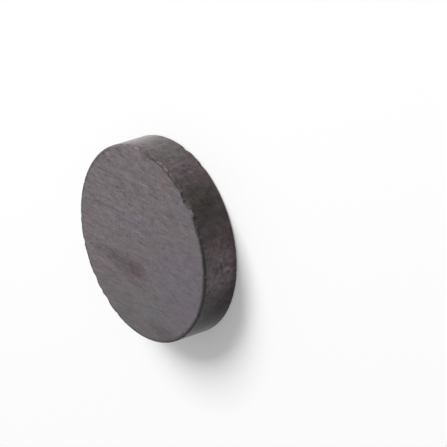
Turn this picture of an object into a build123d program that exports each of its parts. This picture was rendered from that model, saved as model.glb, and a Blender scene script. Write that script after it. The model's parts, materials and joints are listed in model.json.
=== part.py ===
import os
from math import sqrt

from build123d import *

# A plain ferrite disc magnet: pressed, sintered, then ground flat on both faces.
# The origin is the centre of the lower face and +Z is the magnet's axis.

# Driving dimensions of the disc, in millimetres
diameter = 25.0
thickness = 5.0
edge_break = 0.2

# The largest of the flakes that knocks have taken off the edges
flake_length = 2.6
flake_face_reach = 0.70
flake_rim_reach = 0.56

# A flake leaves a shallow dish whose middle stands off the edge by this share of its half sizes.
stand_off_share = 0.3

# One row for each flake: its place as a share of a turn from +X, then its length along the edge,
# its reach over the face and its reach along the rim as shares of the largest flake.
upper_flake_shares = [
    (0.760, 0.38, 0.34, 1.00),
    (0.797, 0.77, 1.00, 0.54),
    (0.819, 1.00, 0.54, 0.43),
    (0.838, 0.85, 0.60, 0.46),
    (0.857, 0.92, 0.51, 0.48),
    (0.876, 1.00, 0.60, 0.52),
    (0.895, 0.77, 0.51, 0.45),
    (0.172, 0.52, 0.43, 0.57),
    (0.216, 0.42, 0.51, 0.61),
    (0.238, 1.00, 0.43, 0.50),
    (0.278, 0.69, 0.57, 0.61),
    (0.301, 0.54, 0.47, 0.50),
    (0.318, 0.77, 0.60, 0.71),
    (0.350, 0.42, 0.43, 0.54),
]
lower_flake_shares = [
    (0.884, 0.68, 0.54, 0.75),
    (0.842, 0.55, 0.43, 0.89),
]

radius = diameter / 2


def flake(height, turn_share, length_share, face_share, rim_share):
    # The dish's half sizes that give the flake its length and its two reaches from the corner
    reach_share = sqrt(1 - stand_off_share**2) - stand_off_share
    half_across = flake_face_reach * face_share / reach_share
    half_along = flake_length * length_share / 2 / sqrt(1 - 2 * stand_off_share**2)
    half_down = flake_rim_reach * rim_share / reach_share
    outwards = 1 if height > 0 else -1
    middle = Pos(radius + stand_off_share * half_across, 0, height + outwards * stand_off_share * half_down)
    dish = scale(Sphere(1, rotation=(90, 0, 0)), by=(half_across, half_along, half_down))
    return Rot(Z=360 * turn_share) * middle * dish


def ferrite_disc():
    disc = Cylinder(radius, thickness, align=(Align.CENTER, Align.CENTER, Align.MIN))
    disc = chamfer(disc.edges().filter_by(GeomType.CIRCLE), edge_break)
    for shares in upper_flake_shares:
        disc -= flake(thickness, *shares)
    for shares in lower_flake_shares:
        disc -= flake(0, *shares)
    return disc


os.makedirs("parts", exist_ok=True)
export_step(ferrite_disc(), "parts/ferrite_disc.step")
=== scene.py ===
import json
import math
import random

import bpy
from mathutils import Matrix, Vector


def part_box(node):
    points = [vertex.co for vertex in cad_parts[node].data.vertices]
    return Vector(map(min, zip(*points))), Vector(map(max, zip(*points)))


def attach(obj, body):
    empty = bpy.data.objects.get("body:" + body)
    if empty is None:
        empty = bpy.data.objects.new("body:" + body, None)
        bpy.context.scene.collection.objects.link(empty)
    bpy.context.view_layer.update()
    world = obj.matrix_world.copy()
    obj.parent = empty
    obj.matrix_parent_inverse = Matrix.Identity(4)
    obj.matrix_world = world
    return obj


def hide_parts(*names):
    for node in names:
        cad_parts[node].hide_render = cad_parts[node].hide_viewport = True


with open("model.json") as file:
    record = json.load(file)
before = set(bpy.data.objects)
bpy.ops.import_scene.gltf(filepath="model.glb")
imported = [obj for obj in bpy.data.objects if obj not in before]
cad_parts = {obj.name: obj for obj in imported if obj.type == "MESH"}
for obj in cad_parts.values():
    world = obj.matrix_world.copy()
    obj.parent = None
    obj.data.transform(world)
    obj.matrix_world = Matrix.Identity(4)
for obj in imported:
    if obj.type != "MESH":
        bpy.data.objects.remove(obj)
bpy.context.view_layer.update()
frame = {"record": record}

mm = 0.001
low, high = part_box("ferrite_disc")
rimMount = next(m for m in frame["record"]["mounts"] if m["name"] == "rim")
radius = rimMount["dims"]["r_mm"] * mm
thickness = high.z - low.z
edgeBreak = (thickness - rimMount["dims"]["length_mm"] * mm) / 2
faceRadius = radius - edgeBreak
print("frame loaded: disc radius", round(radius / mm, 2), "thickness", round(thickness / mm, 2))


# small helpers for working in Blender as by hand

def goTo(mode):
    bpy.ops.object.mode_set(mode=mode)


def startFresh():
    bpy.ops.object.select_all(action="DESELECT")


def applyAll(piece):
    bpy.context.view_layer.objects.active = piece
    for modifier in list(piece.modifiers):
        bpy.ops.object.modifier_apply(modifier=modifier.name)


# shader sums: a wrapped socket, so that 1 - mask adds its Math node

class Signal:
    noiseMiddle = 0.5  # a Noise node's values lie round this one
    noiseSpread = 3.0  # and this brings them to about -1 to 1

    def __init__(self, tree, socket=None):
        self.tree = tree
        self.socket = socket

    def node(self, kind, settings=None, sockets=None, out=0):
        made = self.tree.nodes.new("ShaderNode" + kind)
        for name, value in (settings or {}).items():
            if name == "stops":
                while len(made.color_ramp.elements) < len(value):
                    made.color_ramp.elements.new(1.0)
                for stop, (place, colour) in zip(made.color_ramp.elements, value):
                    stop.position = place
                    stop.color = (*colour, 1.0)
            else:
                setattr(made, name, value)
        for name, value in (sockets or {}).items():
            self.feed(made.inputs[name], value)
        return Signal(self.tree, made.outputs[out] if made.outputs else None)

    def out(self, name):
        # another output of the same node
        return Signal(self.tree, self.socket.node.outputs[name])

    def feed(self, target, value):
        if isinstance(value, Signal):
            self.tree.links.new(value.socket, target)
        else:
            target.default_value = value

    def maths(self, operation, first, second=0.0, clamp=False):
        settings = {"operation": operation, "use_clamp": clamp}
        return self.node("Math", settings, {0: first, 1: second})

    def __add__(self, other):
        return self.maths("ADD", self, other)

    def __radd__(self, other):
        return self.maths("ADD", other, self)

    def __sub__(self, other):
        return self.maths("SUBTRACT", self, other)

    def __rsub__(self, other):
        return self.maths("SUBTRACT", other, self)

    def __mul__(self, other):
        return self.maths("MULTIPLY", self, other)

    def __rmul__(self, other):
        return self.maths("MULTIPLY", other, self)

    def step(self, start, end):
        # 0 below start, 1 above end, soft in between; start may be the larger
        sockets = {"Value": self, "From Min": start, "From Max": end}
        return self.node("MapRange", {"interpolation_type": "SMOOTHSTEP"}, sockets)

    def blend(self, first, second):
        # two colours mixed by this value, on the colour sockets of the Mix node
        pair = [colour if isinstance(colour, Signal) else (*colour, 1.0) for colour in (first, second)]
        return self.node("Mix", {"data_type": "RGBA"}, {0: self, 6: pair[0], 7: pair[1]}, out=2)

    def shaded(self, amount):
        # this colour, or vector, times a value
        return self.node("VectorMath", {"operation": "SCALE"}, {"Vector": self, "Scale": amount})

    def rawNoise(self, scale, detail=2.0, rough=0.5):
        sockets = {"Vector": self, "Scale": scale, "Detail": detail, "Roughness": rough}
        return self.node("TexNoise", {}, sockets)

    def noise(self, scale=1.0, detail=2.0, rough=0.5):
        # cloudy noise at this place, from about -1 to 1
        return (self.rawNoise(scale, detail, rough) - self.noiseMiddle) * self.noiseSpread

    def tinted(self, stops, scale):
        # colours of a ramp, chosen by cloudy noise at this place
        return self.node("ValToRGB", {"stops": stops}, {"Fac": self.rawNoise(scale)})


def newMaterial(name):
    made = bpy.data.materials.new(name)
    made.use_nodes = True
    made.node_tree.nodes.clear()
    return made, Signal(made.node_tree)


# camera, at the photo's viewing angle; the photo shows the disc turned onto its rim, hence the roll

photoCamera = {
    "lens": 265.77,
    "aim": (-0.67 * mm, -10.81 * mm, 0.0),
    "distance": 394.2 * mm,
    "elevation": 34.93,
    "roll": -107.87,
    "clipStart": 1 * mm,
}


def setCamera(spec):
    lift = math.radians(spec["elevation"])
    back = Vector((0.0, -math.cos(lift), math.sin(lift)))
    startFresh()
    bpy.ops.object.camera_add()
    camera = bpy.context.object
    camera.data.lens = spec["lens"]
    camera.data.clip_start = spec["clipStart"]
    place = Matrix.Translation(Vector(spec["aim"]) + back * spec["distance"])
    tilt = Matrix.Rotation(math.pi / 2 - lift, 4, "X")
    roll = Matrix.Rotation(math.radians(spec["roll"]), 4, "Z")
    camera.matrix_world = place @ tilt @ roll
    bpy.context.scene.camera = camera


setCamera(photoCamera)
print("camera set")


# stage: a white floor, one soft key light and a pale room

stage = {
    "white": (1.0, 1.0, 1.0),
    "floorSize": 3.0,
    "floorDrop": 0.01 * mm,
    "floorBounce": 0.34,  # how pale the floor is to the light that it throws back
    "floorGlow": 0.25,
    "roomLevel": 0.315,
    "roomLean": 0.55,     # how much brighter the room is on the photo's upper side, along +X
    "keyFrom": (0.76, -0.03, 0.64),
    "keyDistance": 1.2,
    "keySize": 0.68,
    "keyPower": 16.4,
}


def seenRays(wires):
    # 1 for rays that show the stage itself, 0 for the light that it gives
    path = wires.node("LightPath")
    shown = path.out("Is Camera Ray") + path.out("Is Glossy Ray")
    return wires.maths("ADD", shown, path.out("Is Transmission Ray"), clamp=True)


def layFloor(spec):
    startFresh()
    bpy.ops.mesh.primitive_plane_add(size=spec["floorSize"], location=(0, 0, -spec["floorDrop"]))
    floor = bpy.context.object
    floor.name = "floor"
    material, wires = newMaterial("paleFloor")
    colour = seenRays(wires).blend((spec["floorBounce"],) * 3, spec["white"])
    diffuse = wires.node("BsdfDiffuse", {}, {"Color": colour})
    glow = wires.node("Emission")
    sockets = {0: seenRays(wires) * spec["floorGlow"], 1: diffuse, 2: glow}
    wires.node("OutputMaterial", {}, {"Surface": wires.node("MixShader", {}, sockets)})
    floor.data.materials.append(material)


def setRoom(spec):
    world = bpy.data.worlds.new("paleRoom")
    world.use_nodes = True
    world.node_tree.nodes.clear()
    wires = Signal(world.node_tree)
    heading = wires.node("SeparateXYZ", {}, {"Vector": wires.node("TexCoord", out="Generated")})
    light = spec["roomLevel"] * (1.0 + spec["roomLean"] * heading.out("X"))
    seen = seenRays(wires)
    level = seen + (1.0 - seen) * light
    sky = wires.node("Background", {}, {"Color": (*spec["white"], 1.0), "Strength": level})
    wires.node("OutputWorld", {}, {"Surface": sky})
    bpy.context.scene.world = world


def hangKey(spec):
    toKey = Vector(spec["keyFrom"]).normalized()
    bpy.ops.object.light_add(type="AREA", location=toKey * spec["keyDistance"])
    key = bpy.context.object
    key.name = "keyLight"
    key.rotation_euler = toKey.to_track_quat("Z", "Y").to_euler()
    key.data.size = spec["keySize"]
    key.data.energy = spec["keyPower"]


layFloor(stage)
setRoom(stage)
hangKey(stage)
bpy.context.scene.view_settings.view_transform = "Standard"
print("stage set")


# the disc: its section spun about the axis, then worn; lengths in mm

disc = {
    "segments": 900,
    "fineStep": 0.085,          # spacing of the mesh near the edges and up the rim
    "fineZone": 0.95,           # how far in over the face that spacing goes
    "growth": 1.7,              # how fast the rings widen further in
    "edgeRows": 4,
    "edgeBulge": 0.015,
    "weldGap": 0.0001,
    "edgeSlack": 0.01,          # allowance in finding the edges, as a share of their width
    "rimLumps": (0.012, 1.1),   # depth and size of the lumps of the sintered skin
    "edgeWear": (0.045, 0.45),  # the same for the worn edges
    "smoothBelow": 34,
}


def ringsInward(spec):
    # distances in from the edge of the face, ending at the axis
    reach, step, rings = 0.0, spec["fineStep"], [0.0]
    while reach + step < faceRadius / mm - step:
        reach += step
        rings.append(reach)
        if reach > spec["fineZone"]:
            step *= spec["growth"]
    return rings + [faceRadius / mm]


def discSection(spec):
    # the upper half from the middle of the face to half way down the rim, then its mirror image
    face = [(faceRadius - d * mm, thickness) for d in reversed(ringsInward(spec))]
    corner = []
    for row in range(1, spec["edgeRows"]):
        share = row / spec["edgeRows"]
        swell = spec["edgeBulge"] * mm * math.sin(math.pi * share)
        corner.append((radius - edgeBreak * (1 - share) + swell, thickness - edgeBreak * share + swell))
    wall = thickness / 2 - edgeBreak
    rows = math.ceil(wall / (spec["fineStep"] * mm))
    rim = [(radius, thickness - edgeBreak - wall * row / rows) for row in range(rows + 1)]
    upper = face + corner + rim
    lower = [(r, thickness - z) for r, z in reversed(upper[:-1])]
    return upper + lower


def traceSection(spec):
    # a plane drawn together to one vertex, which is extruded from point to point
    section = [Vector((r, 0.0, z)) for r, z in discSection(spec)]
    startFresh()
    bpy.ops.mesh.primitive_plane_add(size=edgeBreak)
    piece = bpy.context.object
    piece.name = piece.data.name = "chippedDisc"
    goTo("EDIT")
    bpy.ops.mesh.select_all(action="SELECT")
    bpy.ops.mesh.merge(type="CENTER")
    bpy.ops.transform.translate(value=section[0])
    for last, point in zip(section, section[1:]):
        bpy.ops.mesh.extrude_vertices_move(TRANSFORM_OT_translate={"value": point - last})
    goTo("OBJECT")
    return piece


def spinDisc(spec):
    piece = traceSection(spec)
    turned = piece.modifiers.new("turned", "SCREW")
    turned.steps = turned.render_steps = spec["segments"]
    turned.use_merge_vertices = True
    turned.merge_threshold = spec["weldGap"] * mm
    applyAll(piece)
    goTo("EDIT")
    bpy.ops.mesh.select_all(action="SELECT")
    bpy.ops.mesh.remove_doubles(threshold=spec["weldGap"] * mm)
    bpy.ops.mesh.normals_make_consistent(inside=False)
    goTo("OBJECT")
    return piece


def displace(piece, name, depth, size, group="", middle=1.0, detail=3):
    texture = bpy.data.textures.new(name, "CLOUDS")
    texture.noise_scale = size * mm
    texture.noise_depth = detail
    modifier = piece.modifiers.new(name, "DISPLACE")
    modifier.texture = texture
    modifier.texture_coords = "LOCAL"
    modifier.vertex_group = group
    modifier.strength = depth * mm
    modifier.mid_level = middle


def wearDown(piece, spec):
    # lumps on the rim and ragged edges, both inwards only
    slack = edgeBreak * spec["edgeSlack"]
    groups = {"rimSkin": [], "wornEdge": []}
    for vertex in piece.data.vertices:
        inFromFace = min(vertex.co.z, thickness - vertex.co.z)
        fromAxis = math.hypot(vertex.co.x, vertex.co.y)
        if inFromFace > edgeBreak + slack:
            groups["rimSkin"].append(vertex.index)
        elif inFromFace > slack or fromAxis > faceRadius - slack:
            groups["wornEdge"].append(vertex.index)
    for name, members in groups.items():
        piece.vertex_groups.new(name=name).add(members, 1.0, "REPLACE")
    displace(piece, "rimLumps", *spec["rimLumps"], group="rimSkin")
    displace(piece, "edgeWear", *spec["edgeWear"], group="wornEdge")
    applyAll(piece)


# flakes off the edges: place in degrees from +X, length, reach over the face, reach along the rim

flakes = {
    "detail": 6,
    "standOff": 0.3,           # of each dish's middle from the corner, as a share of its half sizes
    "roughness": (0.07, 0.5),  # depth and size of the lumps of the broken surface
    "movedBy": 0.001,          # a point that moved further is broken
    "upper": [
        (273.6, 1.00, 0.24, 0.56),
        (285.2, 0.80, 0.74, 0.32),
        (287.5, 1.80, 0.54, 0.30),
        (294.8, 2.60, 0.38, 0.24),
        (301.7, 2.20, 0.42, 0.26),
        (308.5, 2.40, 0.36, 0.27),
        (315.4, 2.60, 0.42, 0.29),
        (322.2, 2.00, 0.36, 0.25),
        (61.9, 1.36, 0.30, 0.32),
        (77.8, 1.10, 0.36, 0.34),
        (85.7, 2.60, 0.30, 0.28),
        (100.1, 1.80, 0.40, 0.34),
        (108.4, 1.40, 0.33, 0.28),
        (114.5, 2.00, 0.42, 0.40),
        (126.0, 1.10, 0.30, 0.30),
    ],
    "lower": [
        (318.2, 1.76, 0.38, 0.42),
        (303.1, 1.44, 0.30, 0.50),
    ],
}
crumbs = {
    "seed": 7,
    "detail": 3,
    "perEdge": 64,
    "jitter": 0.2,  # along the edge, as a share of their spacing
    "length": (0.25, 0.8),
    "reach": (0.17, 0.30),
    "lean": 0.4,
    "roughness": (0.04, 0.3),
}


def addDish(angle, height, length, faceReach, rimReach, detail, lean=(0.0, 0.0)):
    # a flake leaves a dish with the given reaches, whose middle stands off the corner of the edge
    standOff = flakes["standOff"]
    reachShare = math.sqrt(1 - standOff**2) - standOff
    across = faceReach * mm / reachShare
    along = length * mm / 2 / math.sqrt(1 - 2 * standOff**2)
    down = rimReach * mm / reachShare
    outwards = 1 if height > 0 else -1
    turn = Matrix.Rotation(math.radians(angle), 3, "Z")
    middle = turn @ Vector((radius + standOff * across, 0, height + outwards * standOff * down))
    bpy.ops.mesh.primitive_ico_sphere_add(
        subdivisions=detail,
        radius=1.0,
        location=middle,
        rotation=(*lean, math.radians(angle)),
        scale=(across, along, down),
    )
    return bpy.context.object


def pressIn(piece, dishes, name, roughness):
    # joins the dishes and pushes what lies inside them back onto their surface
    startFresh()
    for dish in dishes:
        dish.select_set(True)
    bpy.context.view_layer.objects.active = dishes[0]
    bpy.ops.object.join()
    cutter = bpy.context.object
    bpy.ops.object.transform_apply(location=True, rotation=True, scale=True)
    displace(cutter, name, *roughness, middle=0.5)
    applyAll(cutter)
    startFresh()
    wrap = piece.modifiers.new(name, "SHRINKWRAP")
    wrap.target = cutter
    wrap.wrap_method = "NEAREST_SURFACEPOINT"
    wrap.wrap_mode = "OUTSIDE"
    applyAll(piece)
    bpy.data.objects.remove(cutter)


def flakeEdges(piece):
    before = [v.co.copy() for v in piece.data.vertices]
    ends = {"upper": thickness, "lower": 0.0}
    # neighbours overlap, so every other one goes in together
    for turn in (0, 1):
        dishes = []
        for end, height in ends.items():
            for angle, *sizes in sorted(flakes[end])[turn::2]:
                dishes.append(addDish(angle, height, *sizes, flakes["detail"]))
        pressIn(piece, dishes, f"flakes{turn}", flakes["roughness"])

    draw = random.Random(crumbs["seed"])
    jitter, lean = crumbs["jitter"], crumbs["lean"]
    dishes = []
    for height in ends.values():
        for place in range(crumbs["perEdge"]):
            angle = (place + draw.uniform(-jitter, jitter)) * 360 / crumbs["perEdge"]
            length = draw.uniform(*crumbs["length"])
            reaches = [draw.uniform(*crumbs["reach"]) for _ in range(2)]
            leans = [draw.uniform(-lean, lean) for _ in range(2)]
            dishes.append(addDish(angle, height, length, *reaches, crumbs["detail"], leans))
    pressIn(piece, dishes, "crumbs", crumbs["roughness"])

    broken = piece.data.attributes.new("broken", "FLOAT", "POINT")
    for vertex, old in zip(piece.data.vertices, before):
        vertex.co.z = min(max(vertex.co.z, 0.0), thickness)
        moved = (vertex.co - old).length
        broken.data[vertex.index].value = float(moved > flakes["movedBy"] * mm)


# finish of the ferrite: ground faces, sintered rim, worn edges with dirt and painted shade, broken
# flakes, and some painted light and shade
# places are x, y in mm on the upper face, or degrees from +X and height up the rim
# tints are plain colours, and a change of shade is a share of the tint

surface = {
    "grindTurn": -119.8,        # which way the grinding marks run over the face, in degrees
    "upperSide": (0.7, 0.9),    # shares of the height between which the upper side starts
    "cloud": 0.55,              # how close to the mm this noise is
    "blotch": (1.1, 3.0, 0.6),  # the same, with its detail and roughness
    "lineDetail": 3.0,
    "grainDetail": (4.0, 0.7),
    "markFade": (1.2, 0.2),     # where a mark is gone and where it is full, as shares of its size
    "spotFade": (1.0, 0.25),
    "spotRagged": 0.25,
}


class Surface:
    # where a point of the disc lies, in mm, with the marks and noises that its finishes share
    def __init__(self, wires, spec):
        top = thickness / mm
        self.wires = wires
        self.spec = spec
        self.turn = math.radians(spec["grindTurn"])
        self.spot = wires.node("TexCoord", out="Object").shaded(1 / mm)
        axes = wires.node("SeparateXYZ", {}, {"Vector": self.spot})
        self.x, self.y, self.z = axes.out("X"), axes.out("Y"), axes.out("Z")
        self.outward = wires.maths("SQRT", self.x * self.x + self.y * self.y)
        self.depth = wires.maths("MINIMUM", self.z, top - self.z)  # below the nearer face
        self.upperSide = self.z.step(*[top * share for share in spec["upperSide"]])
        self.along, self.across = self.grindPlace(self.x, self.y)
        self.cloud = self.spot.noise(spec["cloud"])
        self.blotch = self.spot.noise(*spec["blotch"])

    def grindPlace(self, x, y):
        along = x * math.cos(self.turn) + y * math.sin(self.turn)
        across = y * math.cos(self.turn) - x * math.sin(self.turn)
        return along, across

    def lines(self, lengthwise, crosswise):
        # noise drawn out along the grinding marks
        sockets = {"X": self.along * lengthwise, "Y": self.across * crosswise, "Z": self.z}
        return self.wires.node("CombineXYZ", {}, sockets).noise(detail=self.spec["lineDetail"])

    def grain(self, fineness):
        return self.spot.noise(fineness, *self.spec["grainDetail"])

    def longMark(self, middle, halfLength, halfWidth, ragged):
        # 1 amid a mark on the upper face that runs as the grinding does, fading to 0 round it
        midAlong, midAcross = self.grindPlace(*middle)
        lengthwise = (self.along - midAlong) * (1 / halfLength)
        crosswise = (self.across - midAcross) * (1 / halfWidth)
        reach = self.wires.maths("SQRT", lengthwise * lengthwise + crosswise * crosswise)
        return (reach + ragged).step(*self.spec["markFade"]) * self.upperSide

    def nearTo(self, angle, height, size):
        # 1 close to a place on the rim, fading raggedly to 0 at the given distance
        turned = math.radians(angle)
        middle = (radius / mm * math.cos(turned), radius / mm * math.sin(turned), height)
        ends = {0: self.spot, 1: middle}
        gap = self.wires.node("VectorMath", {"operation": "DISTANCE"}, ends, out="Value")
        ragged = self.cloud * self.spec["spotRagged"]
        return (gap * (1 / size) + ragged).step(*self.spec["spotFade"])


ground = {
    "tints": [
        (0.30, (0.127, 0.109, 0.117)),
        (0.50, (0.130, 0.113, 0.122)),
        (0.70, (0.126, 0.112, 0.120)),
    ],
    "tintScale": 0.22,
    "paler": 0.0075,                   # painted light: change of shade for each mm along +X, paler towards the key light
    "busy": (0.78, 0.035, 0.35, 0.2),  # strength of marks: amid, by mm of +X, by patches, least
    "fineLines": (0.55, 4.2, 0.34),    # how close to the mm along and across, and change of shade
    "strokes": (0.42, 3.2, 0.24),      # paler where the wheel bit last
    "strokeStep": (0.15, 0.5),
    "gaps": (0.75, 2.6, -0.26),
    "gapStep": (-0.15, -0.5),
    "smears": (0.6, 1.3, 0.30),
    "broadLines": (0.12, 1.3, 0.09),
    "grain": (2.6, 0.44),
    "heights": (0.25, 0.12, 0.2),      # of fine lines, broad lines and grain
    "hazes": [                         # middle, half length along the marks, half width, tint, strength
        ((-6.5, -6.0), 6.5, 5.0, (0.128, 0.110, 0.138), 0.7),
        ((2.4, -0.4), 2.4, 1.8, (0.132, 0.113, 0.142), 0.6),
        ((-0.9, 8.9), 2.8, 2.4, (0.140, 0.108, 0.116), 0.7),
        ((5.5, 10.2), 3.0, 3.0, (0.136, 0.110, 0.116), 0.6),
        ((11.2, 2.5), 2.2, 2.2, (0.140, 0.112, 0.120), 0.6),
        ((10.6, -4.6), 2.2, 2.0, (0.140, 0.112, 0.120), 0.6),
        ((6.6, -9.0), 2.4, 2.2, (0.140, 0.108, 0.112), 0.7),
        ((-8.6, 1.5), 3.6, 2.2, (0.112, 0.111, 0.121), 0.6),
        ((-7.5, 7.5), 3.8, 3.2, (0.108, 0.101, 0.104), 0.7),
        # painted shade: darkens the face along its -X edge
        ((-11.5, 1.2), 4.2, 1.8, (0.080, 0.072, 0.073), 0.8),
        ((-3.2, 9.4), 2.4, 1.8, (0.108, 0.098, 0.104), 0.7),
        ((5.0, 3.2), 4.5, 3.2, (0.138, 0.121, 0.131), 0.6),
    ],
    "hazeRagged": 0.3,
    "stains": [
        ((0.5, 7.7), 2.6, 0.9, (0.080, 0.071, 0.072), 0.70),
        ((-1.0, 5.6), 2.6, 1.5, (0.078, 0.060, 0.062), 0.75),
        ((-3.4, 3.6), 2.6, 1.5, (0.104, 0.070, 0.076), 0.65),
        ((-2.6, 2.9), 2.6, 1.5, (0.070, 0.050, 0.053), 0.80),
    ],
    "stainRagged": (0.45, 0.3, 0.2),   # by blotches, smears and grain
    "streaks": [                       # middle, half length, half width, change of shade
        ((5.45, 3.95), 4.0, 0.16, -0.18),
        ((2.3, -3.3), 3.6, 0.15, 0.20),
        ((3.8, -2.4), 1.6, 0.12, 0.14),
        ((6.5, 5.9), 1.6, 0.25, -0.16),
        ((0.3, 3.9), 3.0, 0.14, 0.10),
        ((5.3, 0.8), 1.8, 0.15, 0.14),
        ((7.5, 1.0), 1.2, 0.30, -0.16),
        ((-1.7, -0.9), 1.8, 0.14, 0.12),
        ((1.8, -7.9), 1.2, 0.35, -0.16),
        ((-7.07, -3.33), 0.5, 0.35, -0.24),
    ],
    "streakRagged": 0.3,
}


def groundFace(here, spec):
    # colour and height of the faces, with their hazes, stains and streaks, and some painted light and
    # shade
    amid, byPlace, byPatch, least = spec["busy"]
    busy = here.wires.maths("MAXIMUM", amid + here.x * byPlace + here.cloud * byPatch, least)
    *fineness, fineShade = spec["fineLines"]
    fineLines = here.lines(*fineness) * busy
    *fineness, strokeShade = spec["strokes"]
    strokes = here.lines(*fineness).step(*spec["strokeStep"]) * busy
    *fineness, gapShade = spec["gaps"]
    gaps = here.lines(*fineness).step(*spec["gapStep"]) * busy
    *fineness, smearShade = spec["smears"]
    smears = here.lines(*fineness) * busy
    *fineness, broadShade = spec["broadLines"]
    broadLines = here.lines(*fineness)
    fineness, grainShade = spec["grain"]
    grain = here.grain(fineness) * busy

    colour = here.spot.tinted(spec["tints"], spec["tintScale"])
    ragged = here.cloud * spec["hazeRagged"]
    for *mark, tint, strength in spec["hazes"]:
        colour = (here.longMark(*mark, ragged) * strength).blend(colour, tint)
    byBlotch, bySmear, byGrain = spec["stainRagged"]
    ragged = here.blotch * byBlotch + smears * bySmear + grain * byGrain
    for *mark, tint, strength in spec["stains"]:
        colour = (here.longMark(*mark, ragged) * strength).blend(colour, tint)

    # painted light: the face grows paler towards +X, the side the key light comes from
    shade = 1.0 + here.x * spec["paler"] + broadLines * broadShade
    shade = shade + fineLines * fineShade + strokes * strokeShade + gaps * gapShade
    shade = shade + smears * smearShade + grain * grainShade
    ragged = grain * spec["streakRagged"]
    for *mark, change in spec["streaks"]:
        shade = shade + here.longMark(*mark, ragged) * change
    fineHeight, broadHeight, grainHeight = spec["heights"]
    height = fineLines * fineHeight + broadLines * broadHeight + grain * grainHeight
    return colour.shaded(shade), height


sintered = {
    "tints": [
        (0.32, (0.070, 0.057, 0.054)),
        (0.48, (0.084, 0.061, 0.066)),
        (0.62, (0.075, 0.064, 0.060)),
    ],
    "tintScale": 0.3,
    "grain": (2.0, 0.74),
    "dragMarks": ((4.0, 4.0, 0.3), 0.20),  # how close to the mm along x, y and z, and change of shade
    "clouds": (0.42, 0.34),                # change of shade by blotches and by larger clouds
    "heights": (0.5, 0.15),                # of grain and drag marks
    "patches": [                           # degrees, height, size, tint
        (304.0, 2.6, 3.2, (0.110, 0.080, 0.088)),
        (319.0, 2.5, 2.8, (0.086, 0.077, 0.075)),
        (277.0, 2.5, 4.4, (0.046, 0.036, 0.033)),
        (284.0, 3.4, 1.8, (0.056, 0.048, 0.040)),
        (258.0, 2.2, 3.6, (0.125, 0.082, 0.086)),
        # pale round the scuffs: partly their rub, partly painted bounce light
        (241.5, 2.7, 5.0, (0.250, 0.195, 0.208)),
        # painted shadow: darker at the foot of the rim round 206 degrees
        (206.0, 2.5, 4.0, (0.036, 0.032, 0.030)),
        # painted sheen: paler at the top of the rim, where the light grazes it
        (352.0, 2.5, 3.0, (0.120, 0.104, 0.100)),
    ],
    "patchStrength": 0.8,
    "scuffs": [                            # degrees, height, size, change of shade
        (241.3, 2.04, 0.36, 0.60),
        (241.8, 1.70, 0.36, 0.50),
        (242.0, 1.42, 0.36, 0.80),
        (240.0, 0.96, 0.34, 0.45),
        (247.2, 2.32, 0.45, 0.28),
        (244.2, 2.24, 0.42, 0.28),
        (248.1, 2.72, 0.40, 0.25),
        (246.0, 2.95, 0.38, 0.25),
        (245.3, 2.60, 0.40, -0.25),
    ],
}


def sinteredRim(here, spec):
    # colour and height of the rim: cloudy, with faint drag marks along the axis, and patches, a few of
    # them painted light and shade
    fineness, grainShade = spec["grain"]
    grain = here.grain(fineness)
    fineness, dragShade = spec["dragMarks"]
    stretched = here.wires.node("VectorMath", {"operation": "MULTIPLY"}, {0: here.spot, 1: fineness})
    dragMarks = stretched.noise()
    colour = here.spot.tinted(spec["tints"], spec["tintScale"])
    for *place, tint in spec["patches"]:
        colour = (here.nearTo(*place) * spec["patchStrength"]).blend(colour, tint)
    blotchShade, cloudShade = spec["clouds"]
    shade = 1.0 + grain * grainShade + dragMarks * dragShade
    shade = shade + here.blotch * blotchShade + here.cloud * cloudShade
    for *place, change in spec["scuffs"]:
        shade = shade + here.nearTo(*place) * change
    grainHeight, dragHeight = spec["heights"]
    return colour.shaded(shade), grain * grainHeight + dragMarks * dragHeight


brokenEdge = {
    "dark": (0.034, 0.030, 0.030),
    "darkDepths": (0.09, 0.17),             # where dark stone ends and where the rim's colour is full
    "rimShade": 0.85,
    "paintedNotchShadow": ((286.0, 4.9, 1.5), 0.9),  # painted shadow in the notch: degrees, height and size, then strength
    "hiddenWhereDarkest": 0.8,
    "lipPlace": (312.0, 4.8, 2.5),
    "lipHighlight": (0.25, 0.222, 0.222),
    "lipFrom": (0.11, 0.15),                # depths between which the painted highlight on the lip sets in
    "lipTo": (0.25, 0.20),                  # and between which it ends, the lower one first
    "lipPatches": (-0.2, 0.15),
}


def brokenStone(here, spec, rimColour, darkestStretch):
    # colour of the flakes: dark next to the face, then much as the rim, with a painted shadow in the
    # notch and a painted highlight on the lip round 312 degrees
    # painted shadow: the stone stays dark deeper down in the notch
    notchPlace, notchStrength = spec["paintedNotchShadow"]
    likeRim = here.depth.step(*spec["darkDepths"]) * (1.0 - here.nearTo(*notchPlace) * notchStrength)
    likeRim = likeRim * (1.0 - darkestStretch * spec["hiddenWhereDarkest"])
    colour = likeRim.blend(spec["dark"], rimColour.shaded(spec["rimShade"]))
    # painted highlight along the lip of the flakes round 312 degrees, where the light catches it
    lip = here.depth.step(*spec["lipFrom"]) * here.depth.step(*spec["lipTo"])
    lip = lip * here.nearTo(*spec["lipPlace"]) * here.upperSide * here.blotch.step(*spec["lipPatches"])
    return lip.blend(colour, spec["lipHighlight"])


# dark band on the worn edges: partly dirt, partly painted shade of the edges, creeping in over the
# faces and a little down the rim
grimeAndShade = {
    "tint": (0.042, 0.037, 0.037),
    "darkestTint": (0.018, 0.017, 0.017),
    "amount": (0.9, 0.3, 0.2),  # everywhere, by clouds, and where it is darkest
    "cleanEdges": [(350.0, 5.0, 6.5), (278.6, 5.0, 1.3)],
    "darkestEdge": (257.0, 5.0, 8.5),
    "inFrom": (0.38, 0.08),     # how far in over the faces it starts and where it is full
    "inStrength": 0.80,
    "inRagged": (0.25, 0.12),   # by blotches, and where it is darkest
    "downRim": 0.06,
}


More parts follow.
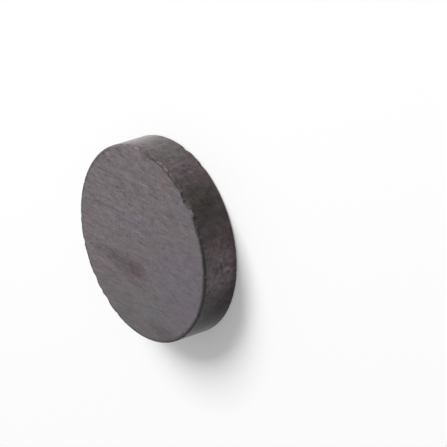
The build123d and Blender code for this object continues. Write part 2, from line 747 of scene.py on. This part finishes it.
def grimeAndShadePlaces(here, spec):
    # how much dark dirt and painted shade lies on the edges, where it is darkest, and how much of it
    # creeps in over the faces
    darkestStretch = here.nearTo(*spec["darkestEdge"])
    everywhere, byCloud, byAge = spec["amount"]
    grimeAndShadeAmount = everywhere + here.cloud * byCloud + darkestStretch * byAge
    for place in spec["cleanEdges"]:
        grimeAndShadeAmount = here.wires.maths("SUBTRACT", grimeAndShadeAmount, here.nearTo(*place), clamp=True)
    byBlotch, further = spec["inRagged"]
    ragged = here.blotch * byBlotch + darkestStretch * further
    creptGrimeAndShade = (here.outward + ragged).step(*[faceRadius / mm - inset for inset in spec["inFrom"]])
    return grimeAndShadeAmount, darkestStretch, creptGrimeAndShade * spec["inStrength"] * grimeAndShadeAmount


skin = {
    "faceDepths": (0.03, 0.004),  # where below a face its own finish ends and where it is full
    "rimInsets": (0.09, 0.03),    # where in from the rim its own finish starts and where it is full
    "rimDepths": (0.10, 0.20),    # the same below the faces
    "poresPerMm": 2.6,
    "poreSize": (0.2, 0.08),      # where a pore ends and where it is full, as shares of its cell
    "poreChance": (0.66, 0.70),   # cells whose random value lies above these have one
    "poreShade": 0.3,
    "poreRough": 0.1,
    "poreDepth": 0.6,
    "faceRough": 0.50,
    "rimRough": 0.22,
    "brokenRough": 0.62,
    "blotchRough": 0.05,
    "gloss": 0.25,
    "bumpDepth": 0.012,
}


def ferriteFinish(spec):
    material, wires = newMaterial("ferriteSkin")
    here = Surface(wires, surface)
    broken = wires.node("Attribute", {"attribute_name": "broken"}, out="Fac")
    faceColour, faceHeight = groundFace(here, ground)
    rimColour, rimHeight = sinteredRim(here, sintered)

    # a dark band, partly dirt and partly painted shade of the edges, lies in the worn edges and creeps
    # in over the faces, apart from two clean stretches
    grimeAndShadeAmount, darkestStretch, creptGrimeAndShade = grimeAndShadePlaces(here, grimeAndShade)
    grimeAndShadeColour = darkestStretch.blend(grimeAndShade["tint"], grimeAndShade["darkestTint"])
    faceColour = creptGrimeAndShade.blend(faceColour, grimeAndShadeColour)
    onFace = here.depth.step(*spec["faceDepths"])
    onRim = here.outward.step(*[radius / mm - inset for inset in spec["rimInsets"]])
    onRim = onRim * (here.depth - grimeAndShadeAmount * grimeAndShade["downRim"]).step(*spec["rimDepths"])
    colour = onRim.blend(grimeAndShadeAmount.blend(faceColour, grimeAndShadeColour), rimColour)
    colour = onFace.blend(colour, faceColour)
    colour = broken.blend(colour, brokenStone(here, brokenEdge, rimColour, darkestStretch))

    # small dark pores, seen on every side
    cells = wires.node("TexVoronoi", {}, {"Vector": here.spot, "Scale": spec["poresPerMm"]})
    chosen = wires.node("SeparateColor", {}, {"Color": cells.out("Color")}).out("Red")
    pores = cells.out("Distance").step(*spec["poreSize"]) * chosen.step(*spec["poreChance"])
    colour = colour.shaded(1.0 - pores * spec["poreShade"])

    rough = onRim * (spec["rimRough"] - spec["faceRough"]) + spec["faceRough"]
    rough = rough + broken * (spec["brokenRough"] - rough)
    rough = rough + here.blotch * spec["blotchRough"] + pores * spec["poreRough"]
    height = onFace * faceHeight + (1.0 - onFace) * rimHeight - pores * spec["poreDepth"]
    sockets = {"Height": height, "Distance": spec["bumpDepth"] * mm, "Strength": 1.0}
    bump = wires.node("Bump", {}, sockets)
    sockets = {"Base Color": colour, "Roughness": rough, "Normal": bump}
    sockets["Specular IOR Level"] = spec["gloss"]
    shader = wires.node("BsdfPrincipled", {}, sockets)
    wires.node("OutputMaterial", {}, {"Surface": shader})
    return material


chippedDisc = spinDisc(disc)
wearDown(chippedDisc, disc)
print("disc spun")
flakeEdges(chippedDisc)
print("edges flaked")
chippedDisc.data.materials.append(ferriteFinish(skin))
print("ferrite finish made")
startFresh()
chippedDisc.select_set(True)
bpy.context.view_layer.objects.active = chippedDisc
bpy.ops.object.shade_smooth_by_angle(angle=math.radians(disc["smoothBelow"]))
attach(chippedDisc, "root")
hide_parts("ferrite_disc")
